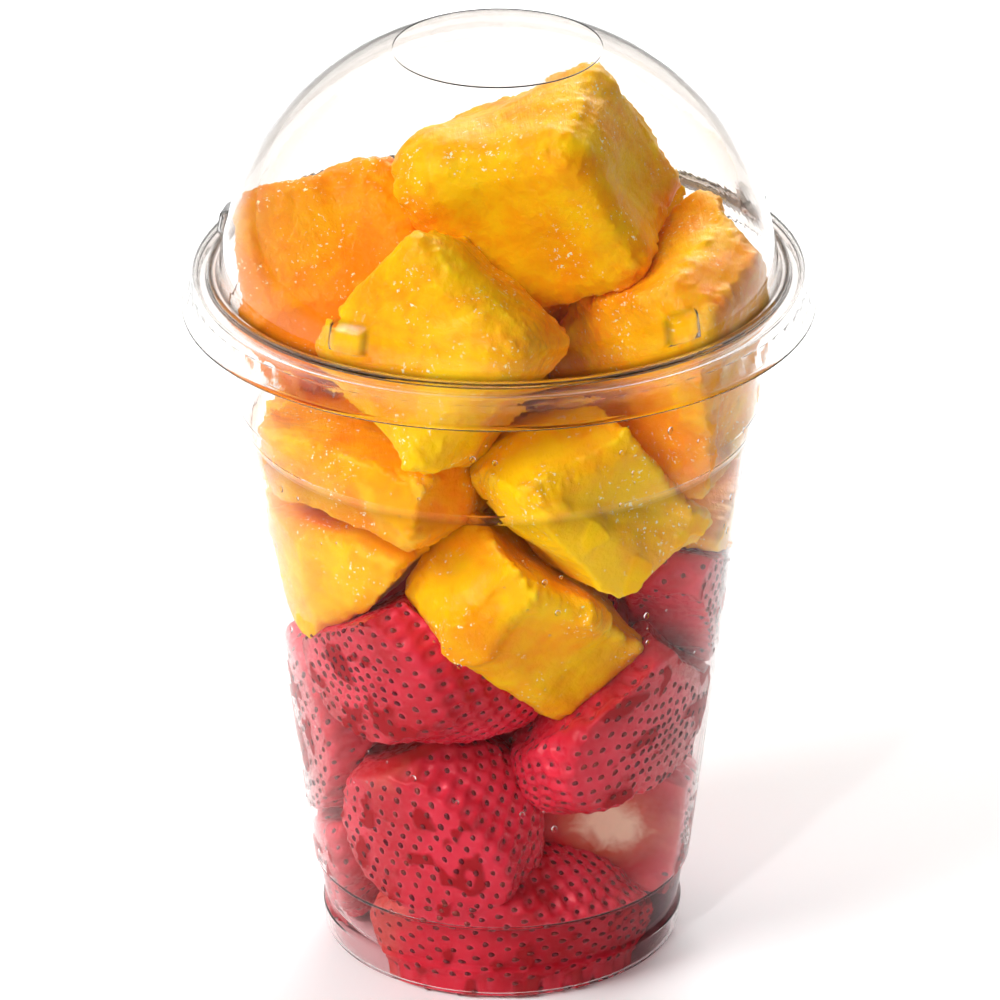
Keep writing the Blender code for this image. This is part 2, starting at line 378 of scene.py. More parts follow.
def mango_flesh(sizes):
    """Cut ripe mango: wet translucent flesh, mottled yellow to orange, with paler edges that are torn fibres and
    painted light shining through, and painted glints in clusters.
    """
    made, tree, end = new_material("cut mango flesh")
    place = out(node(tree, "ShaderNodeTexCoord"), "Object")
    ripe = out(node(tree, "ShaderNodeAttribute", attribute_name="ripe"), "Fac")
    edge = out(node(tree, "ShaderNodeAttribute", attribute_name="edge"), "Fac")
    wet = out(node(tree, "ShaderNodeAttribute", attribute_name="wet"), "Fac")
    broad = noise(tree, place, 0.016, 3.0, 0.55, 0.6)
    mottle = noise(tree, place, 0.004, 4.0, 0.6, 1.2)
    how_ripe = maths(
        tree,
        "ADD",
        ripe,
        maths(
            tree,
            "ADD",
            rescale(tree, broad, 0.35, 0.65, -0.35, 0.35),
            rescale(tree, mottle, 0.3, 0.7, -0.22, 0.22),
        ),
    )
    flesh = ramp(
        tree,
        how_ripe,
        [
            (0.0, sizes.mango_yellow),
            (0.45, tuple(0.5 * (a + b) for a, b in zip(sizes.mango_yellow, sizes.mango_orange))),
            (1.0, sizes.mango_orange),
        ],
    )
    # Paler convex edges: partly torn fibres, partly painted light shining through the thin edges.
    torn = rescale(tree, edge, 0.15, 0.7, 0.0, 0.3, True)
    flesh = mix(tree, torn, flesh, sizes.mango_edge_light)
    fibres = node(tree, "ShaderNodeMapping", {"Vector": place, "Rotation": (0.5, 0.3, 0.9), "Scale": (1.0, 0.22, 1.0)})
    grain = noise(tree, out(fibres), 0.0011, 3.0, 0.6, 0.4)
    wetness = noise(tree, place, 0.0022, 4.0, 0.65)
    rough = maths(
        tree,
        "MAXIMUM",
        rescale(tree, wetness, 0.35, 0.65, 0.3, 0.5),
        rescale(tree, wet, 0.0, 1.0, 0.0, 0.6),
    )
    height = maths(tree, "ADD", grain, maths(tree, "MULTIPLY", wetness, 0.6))
    relief = node(tree, "ShaderNodeBump", {"Strength": 0.4, "Distance": 0.0006, "Height": height})
    # Juice stands in beads along torn fibres, in clusters; their bump is real relief, and near-white specks on them
    # are painted glints.
    beads = noise(tree, place, 0.0007, 2.0, 0.6)
    clusters = rescale(tree, noise(tree, place, 0.008, 3.0, 0.6), 0.48, 0.6, 0.0, 1.0, True)
    # Painted glints: near-white specks mixed into the flesh colour, except where wetted to the wall.
    painted_glints = maths(tree, "MULTIPLY", rescale(tree, beads, 0.62, 0.68), clusters)
    flesh = mix(tree, maths(tree, "MULTIPLY", painted_glints, maths(tree, "SUBTRACT", 1.0, wet)), flesh, linear("#fff6cc"))
    drops = node(
        tree,
        "ShaderNodeBump",
        {
            "Strength": 1.0,
            "Distance": 0.0009,
            "Height": maths(tree, "MULTIPLY", beads, clusters),
            "Normal": out(relief),
        },
    )
    shader = node(
        tree,
        "ShaderNodeBsdfPrincipled",
        {
            "Base Color": flesh,
            "Roughness": rough,
            "IOR": 1.22,
            "Specular Tint": (1.0, 0.62, 0.2, 1),
            "Subsurface Weight": 0.35,
            "Subsurface Radius": (1.0, 0.42, 0.04),
            "Subsurface Scale": 0.003,
            "Coat Weight": 0.3,
            "Coat Roughness": 0.12,
            "Coat IOR": 1.3,
            "Normal": out(relief),
            "Coat Normal": out(drops),
        },
        subsurface_method="RANDOM_WALK",
    )
    tree.links.new(out(shader), end.inputs["Surface"])
    return made


def strawberry_flesh(sizes):
    """Strawberry: glossy red skin, a painted highlight ring round each seed and painted shade down in its pit, and wet
    cut flesh with a pale core.
    """
    made, tree, end = new_material("strawberry skin and flesh")
    place = out(node(tree, "ShaderNodeTexCoord"), "Object")
    skin = out(node(tree, "ShaderNodeAttribute", attribute_name="skin"), "Fac")
    core = out(node(tree, "ShaderNodeAttribute", attribute_name="core"), "Fac")
    pit = out(node(tree, "ShaderNodeAttribute", attribute_name="pit"), "Fac")
    crown = out(node(tree, "ShaderNodeAttribute", attribute_name="crown"), "Fac")
    wet = out(node(tree, "ShaderNodeAttribute", attribute_name="wet"), "Fac")
    broad = noise(tree, place, 0.013, 3.0, 0.5, 0.5)
    fine = noise(tree, place, 0.0012, 3.0, 0.6)
    red = mix(tree, rescale(tree, broad, 0.35, 0.68), sizes.skin_red, sizes.skin_deep)
    # Painted highlight: a paler ring round the rim of each seed's pit.
    painted_pit_rim_highlight = rescale(tree, pit, 0.25, 0.6, 0.0, 0.35, True)
    red = mix(tree, painted_pit_rim_highlight, red, linear("#e8566a"))
    # Painted shade: darker red down in each pit.
    red = mix(tree, rescale(tree, pit, 0.7, 1.0, 0.0, 0.6, True), red, linear("#780c1a"))
    pale_crown = maths(tree, "ADD", crown, rescale(tree, broad, 0.3, 0.7, -0.12, 0.12))
    red = mix(tree, rescale(tree, pale_crown, 0.85, 1.0, 0.0, 0.3, True), red, linear("#e8806c"))
    rays = noise(tree, place, 0.0035, 3.0, 0.6, 0.8)
    depth = maths(tree, "ADD", core, rescale(tree, rays, 0.3, 0.7, -0.06, 0.06))
    cut = ramp(
        tree,
        depth,
        [
            (0.16, sizes.flesh_pale),
            (0.34, linear("#c8543f")),
            (0.5, sizes.flesh_red),
            (0.95, sizes.skin_red),
        ],
    )
    tone = mix(tree, skin, cut, red)
    tone = mix(tree, maths(tree, "MULTIPLY", wet, 0.9), tone, linear("#98030d"))
    rough = maths(
        tree,
        "MAXIMUM",
        rescale(tree, fine, 0.35, 0.65, 0.2, 0.36),
        rescale(tree, wet, 0.0, 1.0, 0.0, 0.6),
    )
    relief = node(tree, "ShaderNodeBump", {"Strength": 0.3, "Distance": 0.0003, "Height": fine})
    shader = node(
        tree,
        "ShaderNodeBsdfPrincipled",
        {
            "Base Color": tone,
            "Roughness": rough,
            "IOR": 1.34,
            "Specular Tint": (1.0, 0.45, 0.45, 1),
            "Subsurface Weight": 0.25,
            "Subsurface Radius": (1.0, 0.18, 0.12),
            "Subsurface Scale": 0.003,
            "Coat Weight": 0.2,
            "Coat Roughness": 0.08,
            "Coat IOR": 1.34,
            "Normal": out(relief),
        },
        subsurface_method="RANDOM_WALK",
    )
    tree.links.new(out(shader), end.inputs["Surface"])
    return made


def red_juice(sizes):
    """Strawberry juice: a clear thin red film, deeper red towards +X, partly where it has gathered and partly painted
    shade on the side away from the key light.
    """
    made, tree, end = new_material("strawberry juice")
    place = out(node(tree, "ShaderNodeTexCoord"), "Object")
    across = out(node(tree, "ShaderNodeSeparateXYZ", {0: place}), 0)
    smears = rescale(tree, noise(tree, place, 0.008, 3.0, 0.55), 0.3, 0.7, -0.15, 0.15)
    # Darker towards +X: partly gathered juice, partly painted shade away from the key light.
    deep = maths(tree, "ADD", rescale(tree, across, -0.004, 0.03), smears)
    film = node(
        tree,
        "ShaderNodeBsdfPrincipled",
        {
            "Base Color": mix(tree, deep, sizes.juice_pale, sizes.juice_deep_and_shaded),
            "Roughness": 0.0,
            "IOR": 1.05,
            "Transmission Weight": 1.0,
        },
    )
    light = node(tree, "ShaderNodeLightPath")
    through = node(tree, "ShaderNodeBsdfTransparent", {"Color": (0.95, 0.8, 0.82, 1)})
    scattered = node(
        tree,
        "ShaderNodeMixShader",
        {0: out(light, "Is Diffuse Ray"), 1: out(film), 2: out(through)},
    )
    lamps = node(
        tree,
        "ShaderNodeMixShader",
        {0: out(light, "Is Shadow Ray"), 1: out(scattered), 2: out(through)},
    )
    tree.links.new(out(lamps), end.inputs["Surface"])
    return made


def seed_husk(tone):
    """Strawberry seed: a small hard husk, dark red-brown, glossy where juice wets it."""
    made, tree, end = new_material("strawberry seed husk")
    place = out(node(tree, "ShaderNodeTexCoord"), "Object")
    patches = noise(tree, place, 0.006, 2.0, 0.5)
    shader = node(
        tree,
        "ShaderNodeBsdfPrincipled",
        {
            "Base Color": mix(tree, rescale(tree, patches, 0.35, 0.65), tone, linear("#7c2c24")),
            "Roughness": rescale(tree, patches, 0.3, 0.7, 0.22, 0.4),
            "Specular Tint": (1.0, 0.5, 0.5, 1),
            "Coat Weight": 0.15,
            "Coat Roughness": 0.15,
        },
    )
    tree.links.new(out(shader), end.inputs["Surface"])
    return made


def painted_board(tone):
    """Floor: matt white painted board with a barely visible grain."""
    made, tree, end = new_material("matt white painted board")
    place = out(node(tree, "ShaderNodeTexCoord"), "Object")
    grain = noise(tree, place, 0.002, 2.0, 0.5)
    relief = node(tree, "ShaderNodeBump", {"Strength": 0.05, "Distance": 0.0001, "Height": grain})
    shader = node(
        tree,
        "ShaderNodeBsdfPrincipled",
        {
            "Base Color": (*tone, 1),
            "Roughness": rescale(tree, grain, 0.0, 1.0, 0.75, 0.85),
            "Specular IOR Level": 0.2,
            "Normal": out(relief),
        },
    )
    tree.links.new(out(shader), end.inputs["Surface"])
    return made


# Turned shells -----------------------------------------------------------------------------


def arc(centre, radius, start, end, steps):
    """Points (r, z) on an arc, from start to end in degrees, both ends among them."""
    turns = [math.radians(start + (end - start) * i / steps) for i in range(steps + 1)]
    return [(centre[0] + radius * math.cos(a), centre[1] + radius * math.sin(a)) for a in turns]


def eased(profile):
    """A profile of (r, z, corner radius) points with each corner turned into a short arc."""
    points = [np.array(p[:2], float) for p in profile]
    radii = [p[2] if len(p) > 2 else 0 for p in profile]
    made = []
    for i, (point, radius) in enumerate(zip(points, radii)):
        if not radius or i in (0, len(points) - 1):
            made.append(point)
            continue
        back, ahead = points[i - 1] - point, points[i + 1] - point
        lengths = np.linalg.norm(back), np.linalg.norm(ahead)
        back, ahead = back / lengths[0], ahead / lengths[1]
        half = math.acos(max(-1, min(1, float(back @ ahead)))) / 2
        reach = min(radius / math.tan(half), 0.48 * min(lengths))
        start, end = point + back * reach, point + ahead * reach
        steps = 5
        for k in range(steps + 1):
            t = k / steps
            made.append((1 - t) ** 2 * start + 2 * t * (1 - t) * point + t * t * end)
    return made


def divided(points, longest):
    """The same profile with no stretch longer than given."""
    made = [points[0]]
    for a, b in zip(points, points[1:]):
        count = max(1, math.ceil(np.linalg.norm(b - a) / longest))
        made += [a + (b - a) * k / count for k in range(1, count + 1)]
    return made


def walled(points, wall):
    """The closed section of a shell: its outer side, then its inner side back to the start."""
    points = np.array(points)
    along = np.gradient(points, axis=0)
    along /= np.linalg.norm(along, axis=1)[:, None] + 1e-12
    inward = np.stack([along[:, 1], -along[:, 0]], axis=1)
    inner = points + inward * wall
    inner[:, 0] = np.maximum(inner[:, 0], 0)
    caps = []
    for end, ahead in ((-1, 1), (0, -1)):
        if points[end, 0] < 0.001:
            inner[end, 0] = 0
            caps.append(np.empty((0, 2)))
            continue
        middle = (points[end] + inner[end]) / 2
        across = (points[end] - middle) * ahead
        turns = np.radians([45, 90, 135])
        caps.append(middle + np.cos(turns)[:, None] * across + np.sin(turns)[:, None] * along[end] * ahead * wall / 2)
    return np.vstack([points, caps[0], inner[::-1], caps[1]])


def cup_outer():
    """The cup's outer side in millimetres, from the end of its rolled rim to the middle of its base."""
    curl = (RIM_RADIUS - CURL, RIM_TOP - CURL)
    start = [(*p, 0) for p in arc(curl, CURL - 0.5, -50, 165, 14)]
    rest = [
        (44.9, 115.6, 1.2),
        (43.6, 113.0, 0.7),
        (42.5, 97.0, 2.5),
        (41.8, 93.8, 0.9),
        (40.9, 92.0, 0.6),
        (31.35, 14.6, 0.5),
        (30.6, 13.8, 0.4),
        (29.35, 6.4, 0.45),
        (29.9, 5.4, 0.7),
        (29.5, 1.2, 1.4),
        (27.2, 0.0, 1.0),
        (25.6, 0.0, 0.8),
        (23.0, 2.0, 1.5),
        (0.0, 2.0, 0),
    ]
    return divided(eased(start + rest), 4.0)


def lid_outer():
    """The lid's outer side in millimetres, from the middle of its flat top to the skirt's edge."""
    flat = math.degrees(math.acos(FLAT_RADIUS / DOME_RADIUS))
    foot = math.degrees(math.asin((DOME_FOOT - DOME_CENTRE) / DOME_RADIUS))
    rim = (RIM_RADIUS - CURL, RIM_TOP - CURL)
    bead = CURL + 0.3 + 0.4
    dome = [
        (*p, 0.5 if i == 0 else 0)
        for i, p in enumerate(arc((0, DOME_CENTRE), DOME_RADIUS, flat, foot, 60))
    ]
    rest = [
        (rim[0] - bead - 0.3, RIM_TOP - 0.5, 0.5),
        *[(*p, 0) for p in arc(rim, bead, 160, 0, 16)],
        (rim[0] + bead + 0.15, SKIRT_EDGE + 3.4, 0.8),
        (SKIRT_RADIUS - 0.7, SKIRT_EDGE + 0.4, 0.3),
        (SKIRT_RADIUS, SKIRT_EDGE, 0),
    ]
    return divided(eased([(0, LID_TOP, 0), *dome, *rest]), 1.1)


def painted_fold_shading(section, folds):
    """How much painted shade darkens each point of a section, near folds given as (r, z, reach, weight)."""
    found = np.zeros(len(section))
    for r, z, width, weight in folds:
        away = np.hypot(section[:, 0] - r, section[:, 1] - z)
        found = np.maximum(found, weight * ease(width, 0.35 * width, away))
    return found


def juice_section():
    """The juice's closed section: from the middle of the base, up inside the foot, and back.

    It reaches just into the plastic, so that no air shows between them."""
    reach_in = 0.06
    heights = (3.4, 5.4, 6.4, 10.0, 13.8, 14.3)
    outer = [(0, 2.5 - reach_in), (22.9, 2.5 - reach_in), (25.4, 0.5 - reach_in), (27.3, 0.5 - reach_in), (28.6, 1.6)]
    outer += [(float(wall_radius(z)) + reach_in, z) for z in heights]
    inner = [(float(wall_radius(z)) - film, z) for z, film in ((14.3, 0.05), (13.6, 0.3), (10.0, 0.45), (6.6, 0.6))]
    inner += [(27.2, 5.3), (24.0, 4.7), (0, 4.6)]
    return np.array(divided(np.array(outer + inner), 3.0))


def section_mesh(name, section, folds):
    mesh = bpy.data.meshes.new(name)
    mesh.from_pydata([(r * MM, 0, z * MM) for r, z in section], [], [])
    mesh.attributes.new("painted_fold_shade", "FLOAT", "POINT").data.foreach_set(
        "value", painted_fold_shading(np.array(section), folds).astype(np.float32)
    )
    return mesh


def pulse(tree, value, half, edge):
    """1 where value is within half of 0, easing to 0 over edge."""
    away = maths(tree, "ABSOLUTE", value)
    return rescale(tree, away, half + edge, half, 0.0, 1.0, True)


def turning_tree():
    """Geometry Nodes: turns a closed section round Z and presses bumps and lugs into the wall."""
    tree = bpy.data.node_groups.new("Turned shell", "GeometryNodeTree")
    face = tree.interface
    face.new_socket("Section", in_out="INPUT", socket_type="NodeSocketGeometry")
    for name, kind in (
        ("Segments", "NodeSocketInt"),
        ("Bumps", "NodeSocketInt"),
        ("Bump Depth", "NodeSocketFloat"),
        ("Bump Middle", "NodeSocketFloat"),
        ("Bump Half Height", "NodeSocketFloat"),
        ("Lugs", "NodeSocketInt"),
        ("Lug Depth", "NodeSocketFloat"),
        ("Lug Middle", "NodeSocketFloat"),
        ("Lug Half Height", "NodeSocketFloat"),
        ("Lug Half Angle", "NodeSocketFloat"),
        ("Lug Turn", "NodeSocketFloat"),
        ("Plastic", "NodeSocketMaterial"),
        ("Pressed Plastic", "NodeSocketMaterial"),
    ):
        face.new_socket(name, in_out="INPUT", socket_type=kind)
    face.new_socket("Shell", in_out="OUTPUT", socket_type="NodeSocketGeometry")
    given = node(tree, "NodeGroupInput")
    count = out(
        node(tree, "GeometryNodeAttributeDomainSize", {0: out(given, "Section")}, component="MESH")
    )
    grid = node(
        tree,
        "GeometryNodeMeshGrid",
        {
            "Size X": 1.0,
            "Size Y": 1.0,
            "Vertices X": maths(tree, "ADD", out(given, "Segments"), 1.0),
            "Vertices Y": maths(tree, "ADD", count, 1.0),
        },
    )
    place = node(tree, "GeometryNodeInputPosition")
    spot = node(tree, "ShaderNodeSeparateXYZ", {0: out(place)})
    turn = maths(tree, "MULTIPLY", maths(tree, "ADD", out(spot, 0), 0.5), math.tau)
    row = maths(tree, "ROUND", maths(tree, "MULTIPLY", maths(tree, "ADD", out(spot, 1), 0.5), count))
    row = maths(tree, "MODULO", row, count)
    sampled = node(
        tree,
        "GeometryNodeSampleIndex",
        {"Geometry": out(given, "Section"), "Value": out(place), "Index": row},
        data_type="FLOAT_VECTOR",
        domain="POINT",
    )
    section = node(tree, "ShaderNodeSeparateXYZ", {0: out(sampled)})
    radius, height = out(section, "X"), out(section, "Z")

    def around(number, start):
        """How far the turn is from the nearest of a number of even steps, as a share of a step."""
        steps = maths(tree, "MULTIPLY", maths(tree, "SUBTRACT", turn, start), maths(tree, "DIVIDE", number, math.tau))
        return maths(tree, "SUBTRACT", maths(tree, "FRACT", steps), 0.5)

    bump = maths(
        tree,
        "MULTIPLY",
        pulse(tree, around(out(given, "Bumps"), 0.0), 0.24, 0.14),
        pulse(
            tree,
            maths(
                tree,
                "DIVIDE",
                maths(tree, "SUBTRACT", height, out(given, "Bump Middle")),
                out(given, "Bump Half Height"),
            ),
            0.7,
            0.5,
        ),
    )
    lug_away = maths(
        tree,
        "DIVIDE",
        maths(tree, "MULTIPLY", around(out(given, "Lugs"), out(given, "Lug Turn")), math.tau),
        maths(tree, "MULTIPLY", out(given, "Lugs"), out(given, "Lug Half Angle")),
    )
    lug = maths(
        tree,
        "MULTIPLY",
        pulse(tree, lug_away, 0.88, 0.16),
        pulse(
            tree,
            maths(
                tree,
                "DIVIDE",
                maths(tree, "SUBTRACT", height, out(given, "Lug Middle")),
                out(given, "Lug Half Height"),
            ),
            0.8,
            0.25,
        ),
    )
    pressed = maths(
        tree,
        "ADD",
        radius,
        maths(
            tree,
            "SUBTRACT",
            maths(tree, "MULTIPLY", lug, out(given, "Lug Depth")),
            maths(tree, "MULTIPLY", bump, out(given, "Bump Depth")),
        ),
    )
    turned = node(
        tree,
        "ShaderNodeCombineXYZ",
        {
            0: maths(tree, "MULTIPLY", pressed, maths(tree, "COSINE", turn)),
            1: maths(tree, "MULTIPLY", pressed, maths(tree, "SINE", turn)),
            2: height,
        },
    )
    painted_fold_shade = node(
        tree,
        "GeometryNodeSampleIndex",
        {
            "Geometry": out(given, "Section"),
            "Value": out(node(tree, "GeometryNodeInputNamedAttribute", {"Name": "painted_fold_shade"}, data_type="FLOAT")),
            "Index": row,
        },
        data_type="FLOAT",
        domain="POINT",
    )

    def side(pulse_of):
        """How near a point is to the steep sides of a bump or lug; the lugs' sides get painted shade from it."""
        return maths(tree, "MULTIPLY", maths(tree, "MULTIPLY", pulse_of, maths(tree, "SUBTRACT", 1.0, pulse_of)), 2.4)

    pressed_in = maths(tree, "MAXIMUM", bump, lug)
    # Painted shade: the folds' darkening from the section, and dark outlines along each lug's sides.
    marked = node(
        tree,
        "GeometryNodeStoreNamedAttribute",
        {
            "Geometry": out(grid),
            "Name": "painted_fold_shade",
            "Value": maths(tree, "MAXIMUM", out(painted_fold_shade), side(lug)),
        },
        data_type="FLOAT",
        domain="POINT",
    )
    marked = node(
        tree,
        "GeometryNodeStoreNamedAttribute",
        {"Geometry": out(marked), "Name": "pressed", "Value": pressed_in},
        data_type="FLOAT",
        domain="POINT",
    )
    moved = node(tree, "GeometryNodeSetPosition", {"Geometry": out(marked), "Position": out(turned)})
    joined = node(tree, "GeometryNodeMergeByDistance", {"Geometry": out(moved), "Distance": 0.000002})
    realized = node(tree, "GeometryNodeRealizeInstances", {0: out(joined)})
    smooth = node(tree, "GeometryNodeSetShadeSmooth", {0: out(realized)})
    clear = node(
        tree, "GeometryNodeSetMaterial", {"Geometry": out(smooth), "Material": out(given, "Plastic")}
    )
    pressed_at = out(node(tree, "GeometryNodeInputNamedAttribute", {"Name": "pressed"}, data_type="FLOAT"))
    finished = node(
        tree,
        "GeometryNodeSetMaterial",
        {
            "Geometry": out(clear),
            "Selection": maths(tree, "GREATER_THAN", pressed_at, 0.15),
            "Material": out(given, "Pressed Plastic"),
        },
    )
    node(tree, "NodeGroupOutput", {0: out(finished)})
    return tree


def grown(name, mesh, tree, values):
    """The mesh that a Geometry Nodes tree makes of a mesh, with the tree's named inputs set."""
    start = bpy.data.objects.new(name, mesh)
    bpy.context.scene.collection.objects.link(start)
    modifier = start.modifiers.new("Grow", "NODES")
    modifier.node_group = tree
    sockets = {s.name: s.identifier for s in tree.interface.items_tree if s.in_out == "INPUT"}
    for key, value in values.items():
        modifier[sockets[key]] = value
    bpy.context.view_layer.update()
    ready = start.evaluated_get(bpy.context.evaluated_depsgraph_get())
    made = bpy.data.meshes.new_from_object(ready)
    start.modifiers.clear()
    bpy.data.objects.remove(start)
    made.name = name
    return made


def turned_shell(name, section, folds, segments, sizes, looks, bumps, lugs):
    tree = bpy.data.node_groups.get("Turned shell") or turning_tree()
    made = grown(
        name,
        section_mesh(name + " section", section, folds),
        tree,
        {
            "Segments": segments,
            "Bumps": max(1, bumps),
            "Bump Depth": sizes.bump_depth if bumps else 0.0,
            "Bump Middle": (SKIRT_EDGE + 2.2) * MM,
            "Bump Half Height": 1.1 * MM,
            "Lugs": max(1, lugs),
            "Lug Depth": sizes.lug_depth if lugs else 0.0,
            "Lug Middle": 123.2 * MM,
            "Lug Half Height": 2.3 * MM,
            "Lug Half Angle": math.radians(4.1),
            "Lug Turn": math.radians(-90 + 40 + 36),
            "Plastic": looks[0],
            "Pressed Plastic": looks[1],
        },
    )
    face_outwards(made)
    return made


# Fruit -------------------------------------------------------------------------------------


def lattice(points, seed):
    """A random number from -1 to 1 for each whole-numbered point."""
    x, y, z = (points[..., i].astype(np.int64) for i in range(3))
    mixed = (x * 374761393 + y * 668265263 + z * 2147483647 + seed * 1274126177) & 0xFFFFFFFF
    mixed = ((mixed ^ (mixed >> 13)) * 1274126177) & 0xFFFFFFFF
    mixed = mixed ^ (mixed >> 16)
    return (mixed & 0xFFFF) / 32767.5 - 1


def lumps(points, size, seed, octaves=1):
    """Smooth noise from about -1 to 1 with lumps about size across."""
    total, weight, sum_of = 0.0, 1.0, 0.0
    for octave in range(octaves):
        spread = points / (size / 2**octave) + 17.3 * (octave + 1)
        low = np.floor(spread)
        share = spread - low
        share = share * share * (3 - 2 * share)
        value = 0.0
        for corner in range(8):
            step = np.array([(corner >> i) & 1 for i in range(3)])
            weights = np.prod(np.where(step, share, 1 - share), axis=1)
            value = value + weights * lattice(low + step, seed + 31 * octave)
        total = total + weight * value
        sum_of += weight
        weight *= 0.5
    return total / sum_of * 1.6


def ease(low, high, value):
    share = np.clip((value - low) / (high - low), 0, 1)
    return share * share * (3 - 2 * share)


def ball(divisions):
    """Unit directions spread over a cube pushed out to a ball, and its four-cornered faces."""
    steps = np.tan(np.linspace(-math.pi / 4, math.pi / 4, divisions + 1))
    a, b = np.meshgrid(steps, steps, indexing="ij")
    points, faces = [], []
    for axis in range(3):
        for side in (-1, 1):
            sheet = np.empty((divisions + 1, divisions + 1, 3))
            sheet[..., axis] = side
            sheet[..., (axis + 1) % 3] = a
            sheet[..., (axis + 2) % 3] = b
            start = len(points) * (divisions + 1) ** 2
            index = np.arange((divisions + 1) ** 2).reshape(divisions + 1, -1) + start
            quads = np.stack([index[:-1, :-1], index[1:, :-1], index[1:, 1:], index[:-1, 1:]], -1)
            faces.append(quads.reshape(-1, 4)[:, :: side])
            points.append(sheet.reshape(-1, 3))
    points = np.concatenate(points)
    faces = np.concatenate(faces)
    keys = np.round(points * 1e5).astype(np.int64)
    _, first, back = np.unique(keys, axis=0, return_index=True, return_inverse=True)
    points = points[first]
    points /= np.linalg.norm(points, axis=1)[:, None]
    return points, back.reshape(-1)[faces]


def edges_of(faces):
    pairs = np.concatenate([faces[:, [i, (i + 1) % 4]] for i in range(4)])
    return np.unique(np.sort(pairs, axis=1), axis=0)


def averaged(values, edges):
    """Each point's values averaged over its neighbours."""
    count = np.bincount(edges.ravel(), minlength=len(values))
    total = np.stack(
        [
            np.bincount(edges[:, 0], values[edges[:, 1], i], len(values))
            + np.bincount(edges[:, 1], values[edges[:, 0], i], len(values))
            for i in range(values.shape[1])
        ],
        axis=1,
    )
    return total / count[:, None]


def relaxed(points, edges, times):
    for _ in range(times):
        points = 0.5 * points + 0.5 * averaged(points, edges)
    return points


def outward(points, faces):
    """Unit normals at the points."""
    a, b, c, d = (points[faces[:, i]] for i in range(4))
    across = np.cross(c - a, d - b)
    total = np.zeros_like(points)
    for i in range(4):
        for axis in range(3):
            total[:, axis] += np.bincount(faces[:, i], across[:, axis], len(points))
    return total / np.linalg.norm(total, axis=1)[:, None]


def guide(name):
    """A CAD fruit's surface, as a tree to cast rays at, and its middle, in millimetres."""
    form = bmesh.new()
    form.from_mesh(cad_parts[name].data)
    bmesh.ops.remove_doubles(form, verts=form.verts, dist=1e-6)
    bmesh.ops.scale(form, vec=(1 / MM,) * 3, verts=form.verts)
    weight = sum(f.calc_area() for f in form.faces)
    middle = sum((f.calc_center_median() * f.calc_area() for f in form.faces), Vector()) / weight
    tree = BVHTree.FromBMesh(form)
    form.free()
    return tree, np.array(middle)


def reach(tree, middle, ways):
    """How far the surface is from the middle along each way."""
    start = Vector(middle)
    found = np.empty(len(ways))
    for i, way in enumerate(ways):
        found[i] = tree.ray_cast(start, Vector(way))[3] or 0.0
    return found


def wall_radius(height):
    """The radius of the cup's inner side at a height, in millimetres."""
    heights = [2.5, 5.4, 6.4, 13.8, 14.6, 92.0, 93.8, 97.0, 113.0, 115.6, 118.0]
    radii = [28.4, 29.4, 28.85, 30.1, 30.85, 40.4, 41.3, 42.0, 43.1, 44.4, 46.5]
    return np.interp(height, heights, radii)


def held(points, seed, cling, patch, press):
    """Keeps points inside the cup and the lid, and wets them to the cup's wall in patches.

    Cling is how readily they touch the wall, patch is how broad the touching patches are, and
    press is how near the wall a point must be to be pressed flat against it.

    Returns the points and how wetted each is, from 0 to 1."""
    points = points.copy()
    across = np.hypot(points[:, 0], points[:, 1])
    wall = wall_radius(points[:, 2])
    gap = wall - across
    inside = ease(118.0, 112.0, points[:, 2]) * ease(2.0, 3.0, points[:, 2])
    new = across + (gap - 0.18) * ease(press, 0.4 * press, gap) * inside
    new = np.where(gap < 0.18, wall - 0.18, new)
    reach_out = cling + 0.45 * lumps(points, patch, seed, 2)
    wet = ease(reach_out + 0.04, reach_out - 0.04, wall - new) * inside
    new = new * (1 - wet) + (wall + 0.06) * wet
    points[:, :2] *= (new / np.maximum(across, 1e-6))[:, None]
    points[:, 2] = np.maximum(points[:, 2], 2.62)
    sunk = ease(3.6, 2.9, points[:, 2]) * ease(22.8, 25.2, across)
    points[:, 2] -= sunk * (points[:, 2] - 0.62)
    out_from = points - (0, 0, DOME_CENTRE)
    far = np.linalg.norm(out_from, axis=1)
    limit = DOME_RADIUS - 0.4 - 0.25
    over = (points[:, 2] > DOME_CENTRE) & (far > limit)
    points[over] = out_from[over] * (limit / far[over])[:, None] + (0, 0, DOME_CENTRE)
    return points, wet


def fruit_mesh(name, points, faces, marks, look):
    mesh = bpy.data.meshes.new(name)
    mesh.vertices.add(len(points))
    mesh.vertices.foreach_set("co", (points * MM).astype(np.float32).ravel())
    mesh.loops.add(len(faces) * 4)
    mesh.loops.foreach_set("vertex_index", faces.astype(np.int32).ravel())
    mesh.polygons.add(len(faces))
    mesh.polygons.foreach_set("loop_start", np.arange(len(faces), dtype=np.int32) * 4)
    mesh.update(calc_edges=True)
    mesh.shade_smooth()
    for key, values in marks.items():
        mesh.attributes.new(key, "FLOAT", "POINT").data.foreach_set(
            "value", values.astype(np.float32)
        )
    mesh.materials.append(look)
    face_outwards(mesh)
    return mesh


SHOWN = {
    "mango_top",
    "mango_front_left",
    "mango_right",
    "mango_left",
    "mango_front_right",
    "mango_front",
    "mango_side_left",
    "strawberry_front",
    "strawberry_left",
    "strawberry_right",
    "strawberry_base",
    "strawberry_low_right",
}


def divisions_for(name):
    return 84 if name in SHOWN else 40


